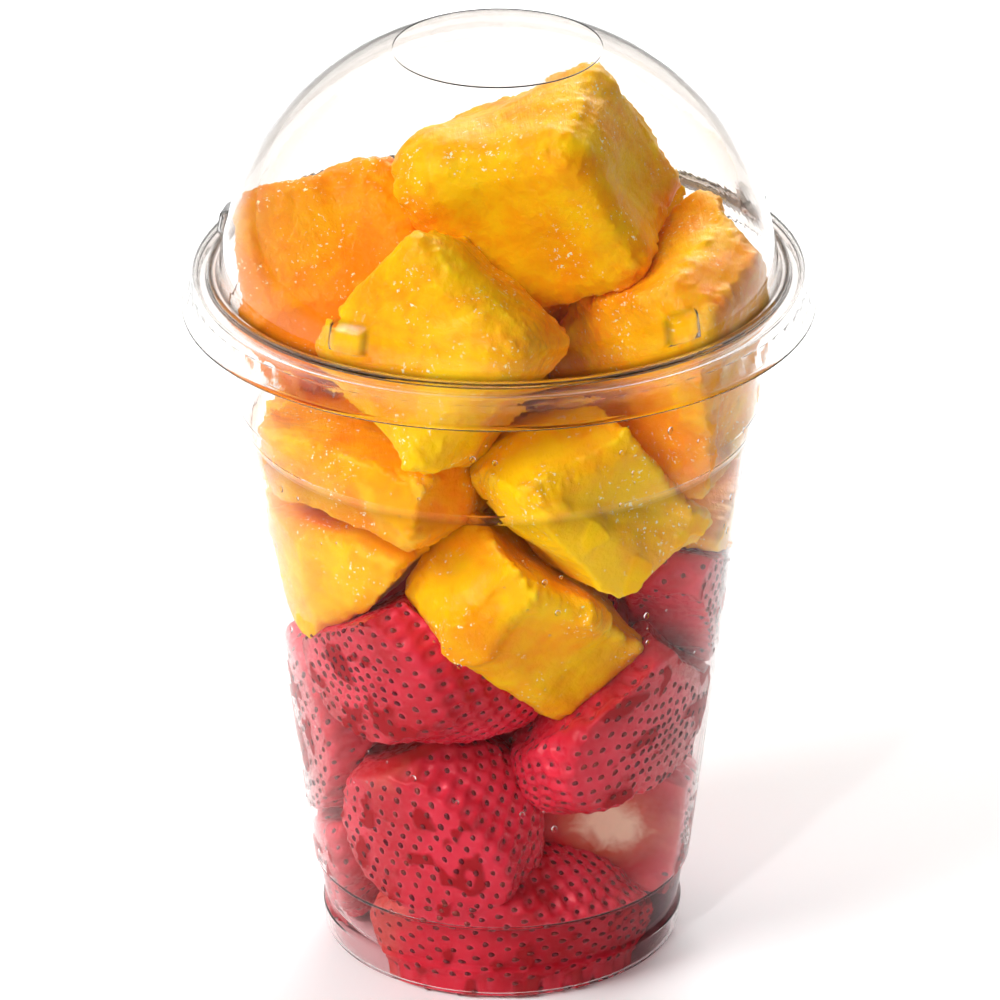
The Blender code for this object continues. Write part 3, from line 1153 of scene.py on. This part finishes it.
def mango_chunk(name, seed, sizes, look):
    """One cut chunk: its CAD form with swells, knife marks and torn fibres along its edges."""
    tree, middle = guide(name)
    ways, faces = ball(divisions_for(name))
    edges = edges_of(faces)
    points = middle + ways * reach(tree, middle, ways)[:, None]
    points = relaxed(points, edges, 6)
    normals = outward(points, faces)
    flat = relaxed(points, edges, 24 if name in SHOWN else 10)
    edge = np.clip(np.einsum("ij,ij->i", points - flat, normals) / 0.4, 0, 1)
    for place, spread, rise in FULLER.get(name, ()):
        away = np.linalg.norm(points - place, axis=1)
        points = points + normals * (rise * np.exp(-((away / spread) ** 2)))[:, None]
    swell = sizes.swell / MM * (
        0.6 * lumps(points, 15.0, seed) + 0.34 * lumps(points, 6.0, seed + 1) + 0.07 * lumps(points, 2.6, seed + 2)
    )
    spin = np.array(Euler((0.4 * seed, 0.9 * seed, 1.7 * seed)).to_matrix())
    along = points @ spin * (1.0, 0.25, 1.0)
    fibre = lumps(along, 1.7, seed + 3, 2)
    torn = sizes.ragged / MM * edge * (
        0.4 * lumps(points, 2.4, seed + 4) + 0.5 * lumps(points, 1.1, seed + 7, 2) + 0.2 * fibre
    )
    points = points + normals * (swell + torn + 0.06 * fibre + 0.25)[:, None]
    points, wet = held(points, seed + 5, 0.1, 6.0, 2.6)
    ripe = np.full(len(points), RIPE.get(name, 0.45))
    marks = {"ripe": ripe, "edge": edge * ease(-0.4, 0.8, lumps(points, 3.0, seed + 6)), "wet": wet}
    return fruit_mesh(name, points, faces, marks, look)


def spiral(count):
    """Unit directions in even spiral rows, as seeds grow on a berry."""
    index = np.arange(count) + 0.5
    height = 1 - 2 * index / count
    angle = math.pi * (1 + 5**0.5) * index
    flat = np.sqrt(1 - height**2)
    return np.stack([flat * np.cos(angle), flat * np.sin(angle), height], axis=1)


def berry_form(ways, size):
    """Points of a whole berry for unit directions, in its own axes."""
    long, width, thick = size
    narrow = 1 - TIP_SHARE * (1 - ways[:, 2]) / 2
    return np.stack(
        [ways[:, 0] * width / 2 * narrow, ways[:, 1] * thick / 2 * narrow, ways[:, 2] * long / 2], 1
    )


def berry_area(size):
    """About how much skin a whole berry has, in square millimetres."""
    a, b, c = ((s / 2) ** 1.6 for s in size)
    return 4 * math.pi * ((a * b + a * c + b * c) / 3) ** (1 / 1.6) * (1 - TIP_SHARE / 2)


def nearest(points, targets):
    """The distance to the nearest target, and which it is."""
    best = np.full(len(points), 1e9)
    which = np.zeros(len(points), int)
    for start in range(0, len(points), 4000):
        part = points[start : start + 4000]
        away = np.linalg.norm(part[:, None] - targets[None], axis=2)
        which[start : start + 4000] = away.argmin(1)
        best[start : start + 4000] = away.min(1)
    return best, which


def strawberry(name, seed, sizes, look):
    """One berry, and the places, turns and number of its seeds."""
    centre, size, turn, halved = BERRY_LAY[name]
    spin = np.array(Euler([math.radians(a) for a in turn], "XYZ").to_matrix())
    tree, middle = guide(name)
    ways, faces = ball(divisions_for(name))
    edges = edges_of(faces)
    whole = berry_form(ways, size) @ spin.T + centre
    rays = whole - middle
    full = np.linalg.norm(rays, axis=1)
    rays /= full[:, None]
    cut = reach(tree, middle, rays)
    share = ease(0.7, 1.7, full - cut) * (name not in FREE)
    points = middle + rays * (full * (1 - share) + cut * share)[:, None]
    points = relaxed(points, edges, 4)
    normals = outward(points, faces)
    local = (points - centre) @ spin
    grown_at = local / (np.array(size)[[1, 2, 0]] / 2)
    narrow = 1 - TIP_SHARE * (1 - np.clip(grown_at[:, 2], -1, 1)) / 2
    core = np.hypot(grown_at[:, 0], grown_at[:, 1]) / narrow
    if halved:
        core = np.hypot(grown_at[:, 0], 0.8 * (grown_at[:, 2] - 0.2))
    skin = np.ones(len(points))
    if halved:
        skin = ease(HULL_SHARE * size[0] - 0.5, HULL_SHARE * size[0] - 1.1, local[:, 2])
        skin *= ease(HALF_SHARE * size[2] - 0.35, HALF_SHARE * size[2] - 0.9, local[:, 1])
    swell = 0.75 * lumps(points, 13.0, seed) + 0.25 * lumps(points, 5.0, seed + 1)
    points = points + normals * (swell * (0.4 + 0.6 * skin) + 0.1)[:, None]
    area = berry_area(size)
    spots = berry_form(spiral(int(area / (sizes.seed_gap / MM) ** 2)), size) @ spin.T + centre
    _, at = nearest(spots, whole)
    across = np.hypot(points[:, 0], points[:, 1])
    at_wall = (wall_radius(points[:, 2]) - across < 4.0) | (points[:, 2] < 4.5)
    kept = ((full - cut)[at] < 3.0) | at_wall[at] | (name in FREE)
    at = at[kept & (skin[at] > 0.9)]
    away, _ = nearest(points, points[at])
    pit = np.exp(-((away / 0.85) ** 2)) * skin
    crest = ease(0.8, 1.6, away) * skin
    points = points + normals * (0.16 * crest - sizes.pit_depth / MM * pit + 0.05 * lumps(points, 1.2, seed + 2))[:, None]
    points, wet = held(points, seed + 5, 0.03, 4.0, 5.5)
    marks = {"skin": skin, "core": core, "pit": pit, "crown": (grown_at[:, 2] + 1) / 2, "wet": wet}
    mesh = fruit_mesh(name, points, faces, marks, look)
    tip = -spin[:, 2]
    up = outward(points, faces)[at] * 0.3 + normals[at] * 0.7
    up /= np.linalg.norm(up, axis=1)[:, None]
    down = tip - up * (up @ tip)[:, None]
    down /= np.linalg.norm(down, axis=1)[:, None]
    frames = np.stack([np.cross(down, up), down, up], axis=2)
    turns = np.array([Matrix(f).to_euler("XYZ")[:] for f in frames])
    return mesh, points[at] + up * 0.05, turns


def seed_tree():
    """Geometry Nodes: a small husk on every point, turned by its own turn and varied in size."""
    tree = bpy.data.node_groups.new("Seeds on berries", "GeometryNodeTree")
    face = tree.interface
    face.new_socket("Places", in_out="INPUT", socket_type="NodeSocketGeometry")
    for name, kind in (
        ("Seed Length", "NodeSocketFloat"),
        ("Seed", "NodeSocketInt"),
        ("Husk", "NodeSocketMaterial"),
    ):
        face.new_socket(name, in_out="INPUT", socket_type=kind)
    face.new_socket("Seeds", in_out="OUTPUT", socket_type="NodeSocketGeometry")
    given = node(tree, "NodeGroupInput")
    husk = node(tree, "GeometryNodeMeshUVSphere", {"Segments": 6, "Rings": 4, "Radius": 0.5})
    place = node(tree, "GeometryNodeInputPosition")
    spot = node(tree, "ShaderNodeSeparateXYZ", {0: out(place)})
    # A husk is pointed towards the berry's tip and blunt at the other end.
    taper = maths(tree, "SUBTRACT", 0.72, maths(tree, "MULTIPLY", out(spot, 2), 0.5))
    shaped = node(
        tree,
        "ShaderNodeCombineXYZ",
        {
            0: maths(tree, "MULTIPLY", out(spot, 0), taper),
            1: out(spot, 2),
            2: maths(tree, "MULTIPLY", maths(tree, "MULTIPLY", out(spot, 1), taper), 0.62),
        },
    )
    formed = node(tree, "GeometryNodeSetPosition", {"Geometry": out(husk), "Position": out(shaped)})
    smooth = node(tree, "GeometryNodeSetShadeSmooth", {0: out(formed)})
    turn = out(node(tree, "GeometryNodeInputNamedAttribute", {"Name": "turn"}, data_type="FLOAT_VECTOR"))
    size = node(
        tree,
        "FunctionNodeRandomValue",
        {"Min": (0.8, 0.8, 0.8), "Max": (1.12, 1.15, 1.1), "Seed": out(given, "Seed")},
        data_type="FLOAT_VECTOR",
    )
    scale = node(
        tree, "ShaderNodeVectorMath", {0: out(size), "Scale": out(given, "Seed Length")}, operation="SCALE"
    )
    placed = node(
        tree,
        "GeometryNodeInstanceOnPoints",
        {
            "Points": out(given, "Places"),
            "Instance": out(smooth),
            "Rotation": out(node(tree, "FunctionNodeEulerToRotation", {0: turn})),
            "Scale": out(scale),
        },
    )
    realized = node(tree, "GeometryNodeRealizeInstances", {0: out(placed)})
    finished = node(
        tree, "GeometryNodeSetMaterial", {"Geometry": out(realized), "Material": out(given, "Husk")}
    )
    node(tree, "NodeGroupOutput", {0: out(finished)})
    return tree


def drop_places(seed, count, low, high):
    """Points on the cup's inner side where drops hang, in clusters, and each drop's turn."""
    rng = np.random.default_rng(seed)
    angle = rng.uniform(0, math.tau, count * 12)
    height = low + (high - low) * rng.uniform(0, 1, count * 12) ** 0.7
    radius = wall_radius(height)
    points = np.stack([radius * np.cos(angle), radius * np.sin(angle), height], axis=1)
    clustered = lumps(points, 9.0, seed, 2) + 0.35 * rng.uniform(-1, 1, len(points))
    picked = np.argsort(-clustered)[: count * 3]
    picked = np.sort(rng.choice(picked, count, replace=False))
    turns = np.stack([np.full(count, math.pi / 2), np.zeros(count), angle[picked] - math.pi / 2], axis=1)
    return points[picked], turns


def drop_tree():
    """Geometry Nodes: a low round drop on every point, turned flat to the wall."""
    tree = bpy.data.node_groups.new("Drops on the wall", "GeometryNodeTree")
    face = tree.interface
    face.new_socket("Places", in_out="INPUT", socket_type="NodeSocketGeometry")
    for name, kind in (
        ("Smallest", "NodeSocketFloat"),
        ("Largest", "NodeSocketFloat"),
        ("Seed", "NodeSocketInt"),
        ("Water", "NodeSocketMaterial"),
    ):
        face.new_socket(name, in_out="INPUT", socket_type=kind)
    face.new_socket("Drops", in_out="OUTPUT", socket_type="NodeSocketGeometry")
    given = node(tree, "NodeGroupInput")
    drop = node(tree, "GeometryNodeMeshUVSphere", {"Segments": 10, "Rings": 6, "Radius": 1.0})
    place = node(tree, "GeometryNodeInputPosition")
    low = node(tree, "ShaderNodeVectorMath", {0: out(place), 1: (1.0, 1.15, 0.45)}, operation="MULTIPLY")
    formed = node(tree, "GeometryNodeSetPosition", {"Geometry": out(drop), "Position": out(low)})
    smooth = node(tree, "GeometryNodeSetShadeSmooth", {0: out(formed)})
    turn = out(node(tree, "GeometryNodeInputNamedAttribute", {"Name": "turn"}, data_type="FLOAT_VECTOR"))
    share = node(tree, "FunctionNodeRandomValue", {"Seed": out(given, "Seed")}, data_type="FLOAT")
    size = maths(
        tree,
        "MULTIPLY_ADD",
        maths(tree, "POWER", out(share, "Value"), 3.0),
        maths(tree, "SUBTRACT", out(given, "Largest"), out(given, "Smallest")),
        out(given, "Smallest"),
    )
    placed = node(
        tree,
        "GeometryNodeInstanceOnPoints",
        {
            "Points": out(given, "Places"),
            "Instance": out(smooth),
            "Rotation": out(node(tree, "FunctionNodeEulerToRotation", {0: turn})),
            "Scale": size,
        },
    )
    realized = node(tree, "GeometryNodeRealizeInstances", {0: out(placed)})
    finished = node(
        tree, "GeometryNodeSetMaterial", {"Geometry": out(realized), "Material": out(given, "Water")}
    )
    node(tree, "NodeGroupOutput", {0: out(finished)})
    return tree


# Operators ---------------------------------------------------------------------------------


class FRUITCUP_OT_cup(bpy.types.Operator):
    """Turns the cup's clear shell"""

    bl_idname = "fruitcup.cup"
    bl_label = "Cup"

    def execute(self, context):
        sizes = context.scene.fruitcup_plastic
        look = clear_plastic("clear PET, drawn cup", sizes.tint, sizes.painted_fold_shade, 0.0035, 1.22, mirror=0.2)
        section = walled(cup_outer(), sizes.cup_wall / MM)
        # Painted shade along the crease under the shoulder and the two creases of the foot.
        folds = [(40.9, 92.0, 0.7, 0.45), (30.6, 13.8, 0.5, 0.2), (29.35, 6.2, 0.5, 0.2)]
        mesh = turned_shell("clear_cup", section, folds, sizes.cup_segments, sizes, (look, look), 0, 0)
        new_piece("clear_cup", mesh, "cup", "cup")
        return {"FINISHED"}


class FRUITCUP_OT_lid(bpy.types.Operator):
    """Turns the domed lid with its snap bumps and stacking lugs"""

    bl_idname = "fruitcup.lid"
    bl_label = "Lid"

    def execute(self, context):
        sizes = context.scene.fruitcup_plastic
        look = clear_plastic("clear PET, domed lid", sizes.lid_tint, sizes.painted_fold_shade, 0.006, 1.5)
        pressed = clear_plastic("clear PET, pressed bumps", sizes.lid_tint, sizes.painted_fold_shade, 0.002, 1.5, 0.08)
        section = walled(lid_outer(), sizes.lid_wall / MM)
        gutter = RIM_RADIUS - 3.3
        # Painted shade: a dark line on both sides of the gutter inside the rim.
        folds = [(gutter - 0.4, RIM_TOP - 0.1, 0.85, 0.85), (gutter + 0.75, RIM_TOP - 0.15, 0.8, 0.85)]
        mesh = turned_shell(
            "domed_lid", section, folds, sizes.lid_segments, sizes, (look, pressed), sizes.bumps, sizes.lugs
        )
        new_piece("domed_lid", mesh, "lid", "lid")
        return {"FINISHED"}


class FRUITCUP_OT_mango(bpy.types.Operator):
    """Cuts every mango chunk"""

    bl_idname = "fruitcup.mango"
    bl_label = "Mango chunks"

    def execute(self, context):
        sizes = context.scene.fruitcup_fruit
        look = mango_flesh(sizes)
        for i, name in enumerate(MANGO_NODES):
            new_piece(name + "_chunk", mango_chunk(name, 11 + 7 * i, sizes, look), "mango", name)
        return {"FINISHED"}


class FRUITCUP_OT_strawberries(bpy.types.Operator):
    """Shapes every strawberry and sets its seeds"""

    bl_idname = "fruitcup.strawberries"
    bl_label = "Strawberries"

    def execute(self, context):
        sizes = context.scene.fruitcup_fruit
        look = strawberry_flesh(sizes)
        places, turns = [], []
        for i, name in enumerate(BERRY_NODES):
            mesh, spots, spins = strawberry(name, 301 + 7 * i, sizes, look)
            new_piece(name + "_fruit", mesh, "strawberry", name)
            places.append(spots)
            turns.append(spins)
        places, turns = np.concatenate(places), np.concatenate(turns)
        points = bpy.data.meshes.new("seed places")
        points.from_pydata((places * MM).tolist(), [], [])
        points.attributes.new("turn", "FLOAT_VECTOR", "POINT").data.foreach_set(
            "vector", turns.astype(np.float32).ravel()
        )
        husk = seed_husk(sizes.seed)
        mesh = grown(
            "strawberry_seeds",
            points,
            seed_tree(),
            {"Seed Length": sizes.seed_length, "Seed": 5, "Husk": husk},
        )
        new_piece("strawberry_seeds", mesh, "strawberry")
        return {"FINISHED"}


class FRUITCUP_OT_drops(bpy.types.Operator):
    """Hangs drops of water and juice on the cup's inner side"""

    bl_idname = "fruitcup.drops"
    bl_label = "Drops"

    def execute(self, context):
        sizes = context.scene.fruitcup_plastic
        places, turns = drop_places(23, sizes.drops, 30.0, 112.0)
        points = bpy.data.meshes.new("drop places")
        points.from_pydata((places * MM).tolist(), [], [])
        points.attributes.new("turn", "FLOAT_VECTOR", "POINT").data.foreach_set(
            "vector", turns.astype(np.float32).ravel()
        )
        water = clear_plastic("water drops", sizes.tint, sizes.tint, 0.002, 1.33)
        values = {"Smallest": 0.2 * MM, "Largest": 0.6 * MM, "Seed": 9, "Water": water}
        new_piece("wall_drops", grown("wall_drops", points, drop_tree(), values), "cup")
        return {"FINISHED"}


class FRUITCUP_OT_juice(bpy.types.Operator):
    """Pours the thin juice in the cup's foot"""

    bl_idname = "fruitcup.juice"
    bl_label = "Juice"

    def execute(self, context):
        look = red_juice(context.scene.fruitcup_fruit)
        sizes = context.scene.fruitcup_plastic
        section = juice_section()
        mesh = turned_shell("strawberry_juice", section, [], 180, sizes, (look, look), 0, 0)
        new_piece("strawberry_juice", mesh, "strawberry")
        return {"FINISHED"}


class FRUITCUP_OT_stage(bpy.types.Operator):
    """Lays the floor and sets the lights and the camera"""

    bl_idname = "fruitcup.stage"
    bl_label = "Stage"

    def execute(self, context):
        scene = context.scene
        sizes = scene.fruitcup_stage
        half = sizes.floor_size / 2
        mesh = bpy.data.meshes.new("floor")
        mesh.from_pydata(
            [(-half, -half, 0), (half, -half, 0), (half, half, 0), (-half, half, 0)], [], [(0, 1, 2, 3)]
        )
        mesh.materials.append(painted_board(sizes.floor))
        floor = bpy.data.objects.new("floor", mesh)
        scene.collection.objects.link(floor)
        studio_light(scene, sizes)
        studio_camera(scene)
        return {"FINISHED"}


def area_light(scene, name, place, aim, size, power):
    lamp = bpy.data.lights.new(name, "AREA")
    lamp.shape = "DISK"
    lamp.size = size
    lamp.energy = power
    # Lit from but not mirrored: the wet fruit keeps its small glints and the clear plastic shows no discs.
    lamp.cycles.use_multiple_importance_sampling = False
    made = bpy.data.objects.new(name, lamp)
    made.visible_camera = False
    made.location = place
    made.rotation_euler = (Vector(aim) - Vector(place)).to_track_quat("-Z", "Y").to_euler()
    scene.collection.objects.link(made)


def studio_light(scene, sizes):
    """A soft overhead key from the left, a weak front fill, and a pale room that is dimmer above."""
    middle = (0, 0, 0.08)
    area_light(scene, "key", (-0.85, -0.5, 1.0), middle, 0.65, sizes.key_power)
    area_light(scene, "back", (-0.2, 0.5, 0.8), (0, 0.15, 0), 0.8, sizes.back_power)
    area_light(scene, "floor light", (0.15, 0.52, 0.42), (0.1, 0.14, 0), 0.5, sizes.floor_power)
    area_light(scene, "fill", (-0.45, -1.3, 0.5), middle, 0.9, sizes.fill_power)
    area_light(scene, "spark", (-0.35, -0.9, 1.0), middle, 0.06, sizes.spark_power)
    world = bpy.data.worlds.new("pale room")
    world.use_nodes = True
    tree = world.node_tree
    tree.nodes.clear()
    way = out(node(tree, "ShaderNodeTexCoord"), "Generated")
    up = out(node(tree, "ShaderNodeSeparateXYZ", {0: way}), 2)
    room = ramp(
        tree,
        rescale(tree, up, -1.0, 1.0),
        [
            (0.0, (1, 1, 1)),
            (0.5, (0.38, 0.38, 0.38)),
            (0.56, (0.25, 0.25, 0.25)),
            (0.66, (0.12, 0.12, 0.12)),
            (1.0, (0.1, 0.1, 0.1)),
        ],
    )
    glow = node(tree, "ShaderNodeBackground", {"Color": room, "Strength": 1.0})
    end = node(tree, "ShaderNodeOutputWorld")
    tree.links.new(out(glow), end.inputs[0])
    scene.world = world


def studio_camera(scene):
    """A long lens from the front, looking down a little."""
    lens = bpy.data.cameras.new("camera")
    lens.lens = 289.5
    lens.sensor_width = 36
    lens.clip_start = 0.05
    camera = bpy.data.objects.new("camera", lens)
    place = Vector((0, -1.1907, 0.6351))
    ahead = Euler((math.radians(90 - 25.1), 0, 0)).to_matrix()
    camera.matrix_world = (
        Matrix.Translation(place) @ ahead.to_4x4() @ Matrix.Rotation(math.radians(-0.3), 4, "Z")
    )
    scene.collection.objects.link(camera)
    scene.camera = camera


class FRUITCUP_PT_panel(bpy.types.Panel):
    """Lists the pieces of the fruit cup and their sizes"""

    bl_idname = "FRUITCUP_PT_panel"
    bl_label = "Fruit Cup"
    bl_space_type = "VIEW_3D"
    bl_region_type = "UI"
    bl_category = "Fruit Cup"

    def draw(self, context):
        for title, group, operators in LISTED:
            box = self.layout.box()
            box.label(text=title)
            sizes = getattr(context.scene, group)
            for key in sizes.__annotations__:
                box.prop(sizes, key)
            for operator in operators:
                box.operator(operator.bl_idname)


GROUPS = {
    "fruitcup_plastic": FruitCupPlastic,
    "fruitcup_fruit": FruitCupFruit,
    "fruitcup_stage": FruitCupStage,
}
OPERATORS = (
    FRUITCUP_OT_cup,
    FRUITCUP_OT_lid,
    FRUITCUP_OT_mango,
    FRUITCUP_OT_strawberries,
    FRUITCUP_OT_juice,
    FRUITCUP_OT_drops,
    FRUITCUP_OT_stage,
)
LISTED = (
    ("Clear plastic", "fruitcup_plastic", (FRUITCUP_OT_cup, FRUITCUP_OT_lid, FRUITCUP_OT_drops)),
    (
        "Fruit",
        "fruitcup_fruit",
        (FRUITCUP_OT_mango, FRUITCUP_OT_strawberries, FRUITCUP_OT_juice),
    ),
    ("Stage", "fruitcup_stage", (FRUITCUP_OT_stage,)),
)


def register():
    for kind in (*GROUPS.values(), *OPERATORS, FRUITCUP_PT_panel):
        bpy.utils.register_class(kind)
    for key, kind in GROUPS.items():
        setattr(bpy.types.Scene, key, PointerProperty(type=kind))


def unregister():
    for key in GROUPS:
        delattr(bpy.types.Scene, key)
    for kind in reversed((*GROUPS.values(), *OPERATORS, FRUITCUP_PT_panel)):
        bpy.utils.unregister_class(kind)


def main():
    register()
    scene = bpy.context.scene
    bpy.ops.fruitcup.cup()
    bpy.ops.fruitcup.lid()
    bpy.ops.fruitcup.mango()
    bpy.ops.fruitcup.strawberries()
    bpy.ops.fruitcup.juice()
    bpy.ops.fruitcup.drops()
    bpy.ops.fruitcup.stage()
    scene.view_settings.view_transform = "Standard"
    scene.cycles.max_bounces = 24
    scene.cycles.transmission_bounces = 20
    scene.cycles.transparent_max_bounces = 24


if __name__ == "__main__":
    main()
